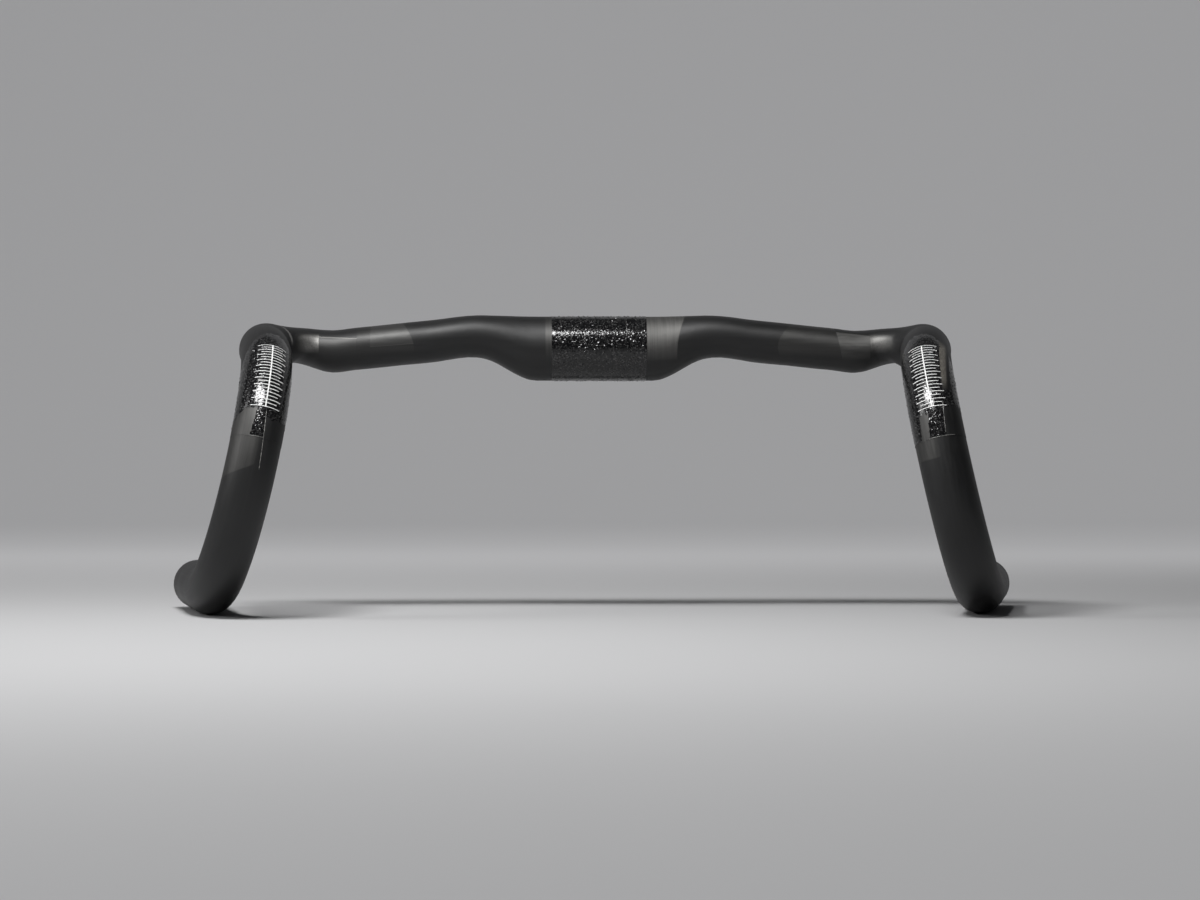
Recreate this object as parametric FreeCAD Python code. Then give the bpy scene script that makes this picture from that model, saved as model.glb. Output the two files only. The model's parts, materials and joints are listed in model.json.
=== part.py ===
import FreeCAD, Part
import os
from math import asin, copysign, cos, degrees, hypot, pi, radians, sin, tan

from FreeCAD import Vector

# Drop handlebar for the track, moulded as one hollow carbon-fibre tube. Millimetres.
# Origin: centre of the stem clamp. +X runs along the clamp axis, -Y is the way the bar
# faces when ridden, and +Z is up with the bar standing on the straight ends of its drops.

# Stem clamp: the round middle, with a raised gritty coat, masked off a little to one side
CLAMP_DIAMETER = 31.8
CLAMP_WIDTH = 57.0
CLAMP_COAT_WIDTH = 46.4
CLAMP_COAT_OFFSET = 2.0
CLAMP_WALL = 3.0
COAT_THICKNESS = 0.1

# Tops: the underside of the clamp sweeps up into a flattened bar that slopes down outwards
TAPER_LENGTH = 29.5
TOPS_RISE = 6.0
TOPS_SLOPE_DEG = 6.0
TOPS_DEPTH = 30.0
TOPS_HEIGHT = 20.8
TOPS_FULLNESS = 2.3
TOPS_WALL = 2.4

# Corner: the palm rest where the top turns forwards, scooped thin from below
BEND_RADIUS = 26.0
CORNER_LEAD = 5.5
CORNER_TURN_DEG = 30.0
CORNER_RISE = 1.5
CORNER_DEPTH = 28.0
CORNER_HEIGHT = 17.3
ROUND_TURN_DEG = 75.0

# Hook and drop: a round tube bent in one plane, which leans outwards and toes in forwards
HOOD_SPACING = 318.6
TUBE_DIAMETER = 24.0
TUBE_WALL = 1.7
FLARE_DEG = 12.7
TOE_DEG = 11.2
RAMP_SLOPE_DEG = 8.2
RAMP_LENGTH = 4.0
RAMP_END_Z = -2.4
HOOK_RADIUS = 59.0
HOOD_COAT_END_DEG = 77.0
DROP_LENGTH = 60.0
END_CHAMFER = 0.5

# Stretches run this far into each other, and a hidden one is slimmer by the nesting gap
OVERLAP = 3.0
NESTING_GAP = 0.1
RING_POINTS = 16

# Directions in the right-hand hook's plane: ahead in it, and down in it
AHEAD = Vector(-sin(radians(TOE_DEG)), -cos(radians(TOE_DEG)), 0)
OUTWARD = Vector(cos(radians(TOE_DEG)), -sin(radians(TOE_DEG)), 0)
DOWN = OUTWARD * sin(radians(FLARE_DEG)) - Vector(0, 0, cos(radians(FLARE_DEG)))


def hook_heading(turn_deg):
    """Direction along the tube where the hook has turned this far down from straight ahead."""
    return AHEAD * cos(radians(turn_deg)) + DOWN * sin(radians(turn_deg))


def hook_inward(turn_deg):
    """Direction there from the tube's centre line to the hook's centre."""
    return DOWN * cos(radians(turn_deg)) - AHEAD * sin(radians(turn_deg))


# The ramp's heading sets how far the corner turns in plan, and so where the tops end
RAMP_HEADING = hook_heading(RAMP_SLOPE_DEG)
RAMP_DIP_DEG = degrees(asin(-RAMP_HEADING.z))
RAMP_TURN_DEG = 90 + degrees(asin(-RAMP_HEADING.x / hypot(RAMP_HEADING.x, RAMP_HEADING.y)))
BEND_REACH = BEND_RADIUS * (1 - cos(radians(RAMP_TURN_DEG)))
BEND_END_X = HOOD_SPACING / 2 - RAMP_LENGTH * RAMP_HEADING.x
BEND_START_X = BEND_END_X - BEND_RADIUS * sin(radians(RAMP_TURN_DEG))
BEND_END = Vector(BEND_END_X, -BEND_REACH, RAMP_END_Z - RAMP_LENGTH * RAMP_HEADING.z)
HOOK_START = BEND_END + RAMP_HEADING * RAMP_LENGTH
HOOK_CENTRE = HOOK_START + hook_inward(RAMP_SLOPE_DEG) * HOOK_RADIUS
HOOK_AXIS = RAMP_HEADING.cross(hook_inward(RAMP_SLOPE_DEG))
DROP_START = HOOK_CENTRE - hook_inward(180) * HOOK_RADIUS
DROP_HEADING = hook_heading(180)

CLAMP_RADIUS = CLAMP_DIAMETER / 2
BARE_CLAMP = CLAMP_DIAMETER - 2 * COAT_THICKNESS
TAPER_START_X = CLAMP_WIDTH / 2
TUBE_RADIUS = TUBE_DIAMETER / 2
TUBE_BORE = TUBE_RADIUS - TUBE_WALL


def blend(start, end, t):
    """Ease from start to end as t goes from 0 to 1, level at both."""
    return start + (end - start) * t * t * (3 - 2 * t)


class Station:
    """One cross-section of the moulded tube: where it is, the way it faces, and its outline."""

    def __init__(self, centre, depth, height, fullness, wall, turn_deg=0, dip_deg=0):
        turn, dip = radians(turn_deg), radians(dip_deg)
        heading = Vector(cos(turn) * cos(dip), -sin(turn) * cos(dip), -sin(dip))
        self.centre = centre
        self.across = Vector(sin(turn), cos(turn), 0)
        self.up = heading.cross(self.across)
        self.depth, self.height = depth, height
        self.fullness, self.wall = fullness, wall

    def outline(self, inset):
        """A smooth oval, moved in by the inset. A fullness of 2 is an ellipse, and more is squarer."""
        half_depth = self.depth / 2 - inset
        half_height = self.height / 2 - inset
        points = []
        for k in range(RING_POINTS):
            angle = 2 * pi * k / RING_POINTS
            side = copysign(abs(cos(angle)) ** (2 / self.fullness), cos(angle))
            rise = copysign(abs(sin(angle)) ** (2 / self.fullness), sin(angle))
            points.append(self.centre + self.across * side * half_depth + self.up * rise * half_height)
        even = [k / RING_POINTS for k in range(RING_POINTS + 1)]
        curve = Part.BSplineCurve()
        curve.interpolate(Points=points, PeriodicFlag=True, Parameters=even)
        return Part.Wire(curve.toShape())


def clamp_stations():
    """Round sections from inside the coated band to the start of the taper."""
    inside_x = CLAMP_COAT_WIDTH / 2 - abs(CLAMP_COAT_OFFSET) - OVERLAP
    places = [inside_x + (TAPER_START_X - inside_x) * t for t in (0, 1 / 3, 2 / 3, 1)]
    return [Station(Vector(x, 0, 0), BARE_CLAMP, BARE_CLAMP, 2, CLAMP_WALL) for x in places]


def tops_z(x):
    """Height of the section's centre along the sloping top."""
    return TOPS_RISE - (x - TAPER_START_X - TAPER_LENGTH) * tan(radians(TOPS_SLOPE_DEG))


def tops_stations():
    """The taper off the clamp, then the flattened top as far as the corner."""
    stations = []
    for t in (1 / 8, 1 / 4, 1 / 2, 3 / 4, 1):
        centre = Vector(TAPER_START_X + TAPER_LENGTH * t, 0, blend(0, TOPS_RISE, t))
        depth = blend(BARE_CLAMP, TOPS_DEPTH, t)
        height = blend(BARE_CLAMP, TOPS_HEIGHT, t)
        fullness = blend(2, TOPS_FULLNESS, t)
        stations.append(Station(centre, depth, height, fullness, blend(CLAMP_WALL, TOPS_WALL, t)))
    start_x, end_x = TAPER_START_X + TAPER_LENGTH, BEND_START_X - CORNER_LEAD
    for t in (1 / 4, 1 / 2, 3 / 4, 7 / 8, 1):
        x = start_x + (end_x - start_x) * t
        centre = Vector(x, 0, tops_z(x))
        stations.append(Station(centre, TOPS_DEPTH, TOPS_HEIGHT, TOPS_FULLNESS, TOPS_WALL))
    return stations


def bend_point(turn_deg, z):
    """Point on the corner's arc in plan, at the given height."""
    turn = radians(turn_deg)
    return Vector(BEND_START_X + BEND_RADIUS * sin(turn), -BEND_RADIUS * (1 - cos(turn)), z)


def ramp_z(turn_deg):
    """Height of the ramp's line carried back round the corner's arc."""
    run = BEND_RADIUS * radians(RAMP_TURN_DEG - turn_deg)
    return BEND_END.z + run * tan(radians(RAMP_DIP_DEG))


def corner_stations():
    """The top thins into the palm rest, then fills out to the round tube as it turns forwards."""
    stations = []
    thinning = CORNER_LEAD + BEND_RADIUS * radians(CORNER_TURN_DEG)
    for turn in (0, CORNER_TURN_DEG / 2, CORNER_TURN_DEG):
        t = (CORNER_LEAD + BEND_RADIUS * radians(turn)) / thinning
        centre = bend_point(turn, blend(tops_z(BEND_START_X - CORNER_LEAD), CORNER_RISE, t))
        depth = blend(TOPS_DEPTH, CORNER_DEPTH, t)
        height = blend(TOPS_HEIGHT, CORNER_HEIGHT, t)
        stations.append(Station(centre, depth, height, TOPS_FULLNESS, TOPS_WALL, turn))
    for t in (1 / 3, 2 / 3, 1):
        turn = CORNER_TURN_DEG + (ROUND_TURN_DEG - CORNER_TURN_DEG) * t
        centre = bend_point(turn, blend(CORNER_RISE, ramp_z(ROUND_TURN_DEG), t))
        height = blend(CORNER_HEIGHT, TUBE_DIAMETER, t)
        fullness, wall = blend(TOPS_FULLNESS, 2, t), blend(TOPS_WALL, TUBE_WALL, t)
        t_to_ramp = (turn - CORNER_TURN_DEG) / (RAMP_TURN_DEG - CORNER_TURN_DEG)
        depth = blend(CORNER_DEPTH, TUBE_DIAMETER, t_to_ramp)
        dip = blend(0, RAMP_DIP_DEG, t)
        stations.append(Station(centre, depth, height, fullness, wall, turn, dip))
    return stations


def ramp_stations():
    """Round sections at the end of the corner, running on inside the hood's coat."""
    return [
        Station(
            BEND_END + RAMP_HEADING * along,
            TUBE_DIAMETER,
            TUBE_DIAMETER,
            2,
            TUBE_WALL + NESTING_GAP,
            RAMP_TURN_DEG,
            RAMP_DIP_DEG,
        )
        for along in (0, OVERLAP / 2, OVERLAP)
    ]


def top_half(hollow):
    """One moulded half from clamp to ramp: its outer form, or the hollow inside it."""
    stations = clamp_stations() + tops_stations() + corner_stations() + ramp_stations()
    return Part.makeLoft([s.outline(s.wall if hollow else 0) for s in stations], True)


def hook_bend(radius, start_deg, end_deg):
    """Round tube along the hook between two turns."""
    centre = HOOK_CENTRE - hook_inward(start_deg) * HOOK_RADIUS
    circle = Part.makeCircle(radius, centre, hook_heading(start_deg))
    return Part.Face(Part.Wire(circle)).revolve(HOOK_CENTRE, HOOK_AXIS, end_deg - start_deg)


def drop_outside():
    """Coated hood, then the bare hook and the straight drop with its chamfered end."""
    coated = TUBE_RADIUS + COAT_THICKNESS
    ramp = Part.makeCylinder(coated, RAMP_LENGTH, BEND_END, RAMP_HEADING)
    hood = hook_bend(coated, RAMP_SLOPE_DEG, HOOD_COAT_END_DEG)
    hook = hook_bend(TUBE_RADIUS, HOOD_COAT_END_DEG - degrees(OVERLAP / HOOK_RADIUS), 180)
    straight = DROP_LENGTH - END_CHAMFER
    drop = Part.makeCylinder(TUBE_RADIUS, straight, DROP_START, DROP_HEADING)
    rim_start = DROP_START + DROP_HEADING * straight
    rim = Part.makeCone(TUBE_RADIUS, TUBE_RADIUS - END_CHAMFER, END_CHAMFER, rim_start, DROP_HEADING)
    return ramp.multiFuse([hood, hook, drop, rim])


def drop_hollow():
    """The bore from the ramp round the hook and out of the drop's open end."""
    ramp = Part.makeCylinder(TUBE_BORE, RAMP_LENGTH, BEND_END, RAMP_HEADING)
    hook = hook_bend(TUBE_BORE, RAMP_SLOPE_DEG, 180)
    drop = Part.makeCylinder(TUBE_BORE, DROP_LENGTH + OVERLAP, DROP_START, DROP_HEADING)
    return ramp.multiFuse([hook, drop])


def both_sides(half):
    """A right-hand form and its mirror image."""
    return [half, half.mirror(Vector(0, 0, 0), Vector(1, 0, 0))]


def clamp_cylinder(radius, width, middle_x):
    """Round middle of the bar, along its clamp axis."""
    return Part.makeCylinder(radius, width, Vector(middle_x - width / 2, 0, 0), Vector(1, 0, 0))


def handlebar():
    """Everything outside, joined, less everything hollow."""
    coat = clamp_cylinder(CLAMP_RADIUS, CLAMP_COAT_WIDTH, CLAMP_COAT_OFFSET)
    bore = clamp_cylinder(CLAMP_RADIUS - CLAMP_WALL, CLAMP_WIDTH - 2 * OVERLAP, 0)
    outside = coat.multiFuse(both_sides(top_half(False)) + both_sides(drop_outside()))
    hollow = bore.multiFuse(both_sides(top_half(True)) + both_sides(drop_hollow()))
    return outside.cut(hollow)


os.makedirs("parts", exist_ok=True)
bar = handlebar()
print("handlebar: solids", len(bar.Solids), "valid", bar.isValid(), "volume", round(bar.Volume), "mm3")
bar.exportStep("parts/handlebar.step")
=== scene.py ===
# %% [markdown]
# A track handlebar is one moulded tube of carbon fibre. The imported model already has its true shape,
# so this lesson keeps that tube and gives it what a photograph shows and a solid model lacks: the
# laid-up plies under a satin lacquer, real grit where the stem and the levers clamp, and the white
# position scales on the hoods. The box of the bare model is kept, and the floor is set at its foot.

# %% Load the frame
import json
from math import atan2, cos, degrees, hypot, radians, sin

import bpy
from mathutils import Matrix, Vector, noise

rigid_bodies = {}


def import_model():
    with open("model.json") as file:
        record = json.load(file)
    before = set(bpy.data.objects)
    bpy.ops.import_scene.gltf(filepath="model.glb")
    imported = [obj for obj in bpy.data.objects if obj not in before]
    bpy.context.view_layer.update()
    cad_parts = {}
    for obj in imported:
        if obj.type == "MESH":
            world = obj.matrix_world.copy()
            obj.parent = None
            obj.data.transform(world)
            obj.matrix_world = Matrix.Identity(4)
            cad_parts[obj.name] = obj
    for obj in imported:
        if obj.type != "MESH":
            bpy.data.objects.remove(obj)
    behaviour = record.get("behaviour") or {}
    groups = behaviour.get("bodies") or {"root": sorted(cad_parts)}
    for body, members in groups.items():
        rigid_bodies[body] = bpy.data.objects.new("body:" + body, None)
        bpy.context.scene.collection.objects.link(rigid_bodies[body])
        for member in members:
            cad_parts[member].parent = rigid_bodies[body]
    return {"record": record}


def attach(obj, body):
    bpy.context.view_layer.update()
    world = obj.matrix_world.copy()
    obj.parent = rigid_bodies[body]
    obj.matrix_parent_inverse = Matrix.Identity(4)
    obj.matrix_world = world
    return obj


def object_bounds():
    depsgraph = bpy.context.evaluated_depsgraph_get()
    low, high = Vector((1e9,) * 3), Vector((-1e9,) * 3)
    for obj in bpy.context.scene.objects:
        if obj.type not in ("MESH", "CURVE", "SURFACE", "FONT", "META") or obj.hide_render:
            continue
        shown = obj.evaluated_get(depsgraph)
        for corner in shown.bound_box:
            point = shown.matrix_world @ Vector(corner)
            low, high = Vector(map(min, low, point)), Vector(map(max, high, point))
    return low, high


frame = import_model()
cad_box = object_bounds()
bar = bpy.data.objects["handlebar"]
print("handlebar:", len(bar.data.polygons), "faces, box", cad_box)

# %% [markdown]
# The hook of a drop bar is one round bend in a plane that leans outwards and toes in. Everything on a
# hood is placed by two angles: how far the bend has turned from its start at the top, and how far
# round the tube a point lies from the line that faces straight out of the bend. The end of the drop
# is a mount of the model, so the middle of the bend is worked out from it.

# %% Measures of the bar
MM = 0.001
TUBE_RADIUS = 12 * MM
HOOD_COAT_RADIUS = 12.1 * MM
HOOK_RADIUS = 59 * MM
DROP_LENGTH = 60 * MM
FLARE = radians(12.7)
TOE = radians(11.2)

AHEAD = Vector((-sin(TOE), -cos(TOE), 0))
OUTWARD = Vector((cos(TOE), -sin(TOE), 0))
DOWN = OUTWARD * sin(FLARE) - Vector((0, 0, cos(FLARE)))
SIDE = AHEAD.cross(DOWN)

mounts = {mount["name"]: mount for mount in frame["record"]["mounts"]}
bar_end = Vector(mounts["bar_end_right"]["pos_m"])
HOOK_CENTRE = bar_end - DOWN * HOOK_RADIUS + AHEAD * DROP_LENGTH
print("middle of the right hook, mm:", [round(value / MM, 2) for value in HOOK_CENTRE])

# %% [markdown]
# Things could be put on a curved tube by eye, with move and rotate. Small functions of the two angles
# do it exactly, and they still hold when a size of the bend changes. One of them goes the other way,
# from a point to its angles, and the seat of the lever, a mount of the model, is put through it.


# %% Places on the right hood
def hook_out(turn):
    """Direction straight out of the bend where the tube has turned by this angle."""
    return AHEAD * sin(turn) - DOWN * cos(turn)


def hook_heading(turn):
    """Direction in which the tube runs where it has turned by this angle."""
    return AHEAD * cos(turn) + DOWN * sin(turn)


def tube_centre(turn):
    """Point on the centre line of the tube."""
    return HOOK_CENTRE + hook_out(turn) * HOOK_RADIUS


def hood_angles(point):
    """Turn along the bend and place round the tube, in degrees, of a point on the right hood."""
    arm = point - HOOK_CENTRE
    ahead = arm.dot(AHEAD)
    down = arm.dot(DOWN)
    turn = atan2(ahead, -down)
    around = atan2(arm.dot(SIDE), hypot(ahead, down) - HOOK_RADIUS)
    return degrees(turn), degrees(around)


lever = Vector(mounts["lever_seat_right"]["pos_m"])
print("the lever seat is", round(hood_angles(lever)[0], 1), "degrees round the bend")

# %% [markdown]
# The photograph was taken from the front with a long lens, level, from just above the table. The
# camera stands 1.5 m away, and a small shift, not a tilt, brings the bar to its place in the frame.

# %% Camera
PHOTO_WIDTH = 1200

camera_data = bpy.data.cameras.new("front_camera")
camera_data.lens = 91.26
camera_data.sensor_width = 36
camera_data.shift_x = 5.56 / PHOTO_WIDTH
camera_data.shift_y = -7.9 / PHOTO_WIDTH
camera_data.clip_end = 20
camera = bpy.data.objects.new("front_camera", camera_data)
camera.location = (-0.0398, -1.4995, -0.04605)
camera.rotation_euler = (radians(90), 0, radians(-1.52))
bpy.context.scene.collection.objects.link(camera)
bpy.context.scene.camera = camera
print("camera lens", camera_data.lens, "mm")

# %% [markdown]
# The studio is a pale sweep: a floor that rises behind the bar in one smooth curve, so that no
# horizon line shows. It is a plane with its back edge extruded up, and the fold between is bevelled.

# %% Floor and backdrop
SWEEP_WIDTH = 16
SWEEP_DEPTH = 10
SWEEP_MIDDLE = -2.2
WALL_HEIGHT = 3
FOLD_RADIUS = 1.2
NEAR = 0.01

floor_height = cad_box[0][2]
bpy.ops.object.select_all(action="DESELECT")
bpy.ops.mesh.primitive_plane_add(size=1, location=(0, SWEEP_MIDDLE, floor_height))
sweep = bpy.context.object
sweep.name = "studio_sweep"
sweep.scale = (SWEEP_WIDTH, SWEEP_DEPTH, 1)
bpy.ops.object.transform_apply(location=True, rotation=True, scale=True)


def choose(piece, mode, test):
    """Select vertices by their place, edges by their two ends, or faces by their middle."""
    bpy.ops.object.mode_set(mode="EDIT")
    bpy.ops.mesh.select_mode(type=mode)
    bpy.ops.mesh.select_all(action="DESELECT")
    bpy.ops.object.mode_set(mode="OBJECT")
    mesh = piece.data
    if mode == "FACE":
        for face in mesh.polygons:
            face.select = test(face.center)
    elif mode == "EDGE":
        for edge in mesh.edges:
            first, second = (mesh.vertices[index].co for index in edge.vertices)
            edge.select = test(first, second)
    else:
        for vertex in mesh.vertices:
            vertex.select = test(vertex.co)
    bpy.ops.object.mode_set(mode="EDIT")


def at_back(first, second):
    """Whether an edge lies in the back edge of the floor or in the wall above it."""
    return min(first.y, second.y) > back - NEAR


def at_fold(first, second):
    """Whether an edge is the fold between floor and wall."""
    return at_back(first, second) and max(first.z, second.z) < floor_height + NEAR


back = max(vertex.co.y for vertex in sweep.data.vertices)
choose(sweep, "EDGE", at_back)
bpy.ops.mesh.extrude_region_move(TRANSFORM_OT_translate={"value": (0, 0, WALL_HEIGHT)})
choose(sweep, "EDGE", at_fold)
bpy.ops.mesh.bevel(offset=FOLD_RADIUS, segments=24, affect="EDGES")
bpy.ops.object.mode_set(mode="OBJECT")
bpy.ops.object.shade_smooth()
print("studio sweep:", len(sweep.data.polygons), "faces")

# %% [markdown]
# Node trees are long to write out, so small helpers place a node, do a sum, make a soft step, mix two
# numbers or two colours, read a noise, start a material and give it relief. They only save typing:
# nearly every call is one node, as it would be when placed by hand.


# %% Node helpers
def add_node(tree, kind, wires=None, **settings):
    """Place one node, set its options, then wire or set its inputs by name or number."""
    node = tree.nodes.new(kind)
    for name, value in settings.items():
        setattr(node, name, value)
    for key, value in (wires or {}).items():
        if isinstance(value, bpy.types.NodeSocket):
            tree.links.new(value, node.inputs[key])
        else:
            node.inputs[key].default_value = value
    return node


def calc(tree, operation, *values):
    """One Math node on numbers or sockets."""
    node = add_node(tree, "ShaderNodeMath", dict(enumerate(values)), operation=operation)
    return node.outputs[0]


def step(tree, value, low, high):
    """Soft step that goes from 0 at low to 1 at high."""
    wires = {"Value": value, "From Min": low, "From Max": high}
    node = add_node(tree, "ShaderNodeMapRange", wires, interpolation_type="SMOOTHSTEP")
    return node.outputs["Result"]


def mix(tree, factor, first, second):
    """One Mix node between two numbers or sockets."""
    node = add_node(tree, "ShaderNodeMix", {0: factor, 2: first, 3: second}, data_type="FLOAT")
    return node.outputs[0]


def mix_colour(tree, factor, first, second):
    """One Mix node between two colours or sockets."""
    node = add_node(tree, "ShaderNodeMix", {0: factor, 6: first, 7: second}, data_type="RGBA")
    return node.outputs[2]


def object_place(tree):
    """Object coordinates, which stay with the piece."""
    return add_node(tree, "ShaderNodeTexCoord").outputs["Object"]


def noise_value(tree, place, scale, detail):
    """One Noise Texture node."""
    wires = {"Vector": place, "Scale": scale, "Detail": detail}
    return add_node(tree, "ShaderNodeTexNoise", wires).outputs[0]


def new_material(name):
    """An empty material with its Principled BSDF wired to the output."""
    material = bpy.data.materials.new(name)
    material.use_nodes = True
    tree = material.node_tree
    tree.nodes.clear()
    shader = add_node(tree, "ShaderNodeBsdfPrincipled")
    add_node(tree, "ShaderNodeOutputMaterial", {"Surface": shader.outputs[0]})
    return material, tree, shader


def give_relief(tree, shader, height, strength, distance):
    """A Bump node on the Normal of a shader."""
    wires = {"Height": height, "Strength": strength, "Distance": distance}
    bump = add_node(tree, "ShaderNodeBump", wires)
    tree.links.new(bump.outputs[0], shader.inputs["Normal"])


print("node helpers ready")

# %% [markdown]
# The sweep is matt paper: a pale grey with a very faint mottle, so that it doesn't look computed. The
# lamps stand near the bar and can't light all of it, so the paper behind and far from it glows a
# little, for the camera and for reflections only: the bar's own light, and its shadow on the floor,
# stay as they are.

# %% Paper of the sweep
PAPER_TONES = (0.45, 0.45, 0.455, 1), (0.475, 0.475, 0.48, 1)
NO_GLOW = (0, 0, 0, 1)
PAPER_GLOW = (0.27, 0.27, 0.275, 1)

paper, tree, shader = new_material("studio_paper")
place = object_place(tree)
mottle = noise_value(tree, place, 3.0, 3.0)
tree.links.new(mix_colour(tree, mottle, *PAPER_TONES), shader.inputs["Base Color"])
shader.inputs["Roughness"].default_value = 0.85
shader.inputs["Specular IOR Level"].default_value = 0.2
rays = add_node(tree, "ShaderNodeLightPath").outputs
seen = calc(tree, "MAXIMUM", rays["Is Camera Ray"], rays["Is Glossy Ray"])
seen = calc(tree, "MAXIMUM", seen, rays["Is Transmission Ray"])
behind = add_node(tree, "ShaderNodeSeparateXYZ", {0: place}).outputs["Y"]
away = add_node(tree, "ShaderNodeVectorMath", {0: place}, operation="LENGTH").outputs["Value"]
unlit = calc(tree, "MAXIMUM", step(tree, behind, 0.05, 0.8), step(tree, away, 0.55, 1.4))
glow = calc(tree, "MULTIPLY", unlit, seen)
tree.links.new(mix_colour(tree, glow, NO_GLOW, PAPER_GLOW), shader.inputs["Emission Color"])
shader.inputs["Emission Strength"].default_value = 1.0
sweep.data.materials.append(paper)
print("sweep paper:", len(tree.nodes), "nodes")

# %% [markdown]
# The light is plain: a soft box above the front left, a weaker one far out on the left, and a dim
# room. Their places come from the photograph. A line of sight mirrored at a glint on the hoods points
# back to the upper lamp, and one mirrored at the soft stripe on each hook points back to the side lamp.


# %% Studio light
def soft_box(name, place, width, height, power):
    """An area lamp at a place, pointed at the middle of the bar."""
    lamp_data = bpy.data.lights.new(name, "AREA")
    lamp_data.shape = "RECTANGLE"
    lamp_data.size = width
    lamp_data.size_y = height
    lamp_data.energy = power
    lamp = bpy.data.objects.new(name, lamp_data)
    lamp.location = Vector(place)
    lamp.rotation_euler = (-lamp.location).to_track_quat("-Z", "Y").to_euler()
    bpy.context.scene.collection.objects.link(lamp)
    print(name, "at", place, power, "W")


soft_box("soft_box", (-0.22, -0.43, 0.72), width=0.44, height=0.18, power=10.5)
soft_box("side_box", (-1.05, -0.32, 0.44), width=0.40, height=0.60, power=4.0)

world = bpy.data.worlds.new("dim_room")
world.use_nodes = True
room = world.node_tree.nodes["Background"]
room.inputs["Color"].default_value = (0.93, 0.96, 1.0, 1)
room.inputs["Strength"].default_value = 0.04
bpy.context.scene.world = world
bpy.context.scene.view_settings.view_transform = "Standard"
print("dim room ready")

# %% [markdown]
# Carbon fibre is laid along the tube, so its streaks have to run along the tops, round the corners and
# down the hooks. An unwrapped map could do that, but the model's triangles are loose. Here a node
# group works it out from Object coordinates: Lay is a place measured along the tube, across it and up
# it, and Turn, Round and Depth are the hood's two angles and the distance from the tube's centre
# line. The absolute value of x makes both sides of the bar alike. All lengths are in millimetres.

# %% Map of the bar
BEND_START = 134.3
BEND_RADIUS = 26.0
CORNER_END = 30.1
TOPS_FLOOR = -20.0
LENGTH_BEFORE_HOOK = 175.0
LENGTH_OF_HOOK = 185.4


def dot_mm(tree, place, direction):
    """How far a place lies along a direction."""
    wires = {0: place, 1: tuple(direction)}
    return add_node(tree, "ShaderNodeVectorMath", wires, operation="DOT_PRODUCT").outputs["Value"]


def diagonal(tree, first, second):
    """Length that two lengths at right angles make together."""
    squares = calc(tree, "ADD", calc(tree, "POWER", first, 2), calc(tree, "POWER", second, 2))
    return calc(tree, "SQRT", squares)


def map_tops(tree, reach, back):
    """How far along and across the tube a place on the tops or in the corner lies."""
    bend_x = calc(tree, "SUBTRACT", reach, BEND_START)
    bend_y = calc(tree, "ADD", back, BEND_RADIUS)
    is_corner = calc(tree, "GREATER_THAN", bend_x, 0)
    swing = calc(tree, "ARCTAN2", bend_x, bend_y)
    corner_along = calc(tree, "ADD", BEND_START, calc(tree, "MULTIPLY", swing, BEND_RADIUS))
    corner_out = calc(tree, "SUBTRACT", diagonal(tree, bend_x, bend_y), BEND_RADIUS)
    return mix(tree, is_corner, reach, corner_along), mix(tree, is_corner, back, corner_out)


def map_hook(tree, half):
    """Where a place on the hook or drop lies along, across and out of the tube, and its angles."""
    wires = {0: half, 1: tuple(HOOK_CENTRE / MM)}
    arm = add_node(tree, "ShaderNodeVectorMath", wires, operation="SUBTRACT").outputs[0]
    ahead = dot_mm(tree, arm, AHEAD)
    down = dot_mm(tree, arm, DOWN)
    side = dot_mm(tree, arm, SIDE)
    behind_bend = calc(tree, "LESS_THAN", ahead, 0)
    is_drop = calc(tree, "MULTIPLY", behind_bend, calc(tree, "GREATER_THAN", down, 0))
    turn = calc(tree, "ARCTAN2", ahead, calc(tree, "MULTIPLY", down, -1))
    bend_out = calc(tree, "SUBTRACT", diagonal(tree, ahead, down), HOOK_RADIUS / MM)
    drop_out = calc(tree, "SUBTRACT", down, HOOK_RADIUS / MM)
    out = mix(tree, is_drop, bend_out, drop_out)
    bend_along = calc(tree, "MULTIPLY", turn, HOOK_RADIUS / MM)
    drop_along = calc(tree, "SUBTRACT", LENGTH_OF_HOOK, ahead)
    along = calc(tree, "ADD", LENGTH_BEFORE_HOOK, mix(tree, is_drop, bend_along, drop_along))
    measures = {"Turn": calc(tree, "DEGREES", turn), "Depth": diagonal(tree, out, side)}
    measures["Round"] = calc(tree, "DEGREES", calc(tree, "ARCTAN2", side, out))
    measures["Drop"] = calc(tree, "MULTIPLY", is_drop, calc(tree, "MULTIPLY", ahead, -1))
    return along, side, out, measures


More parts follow.
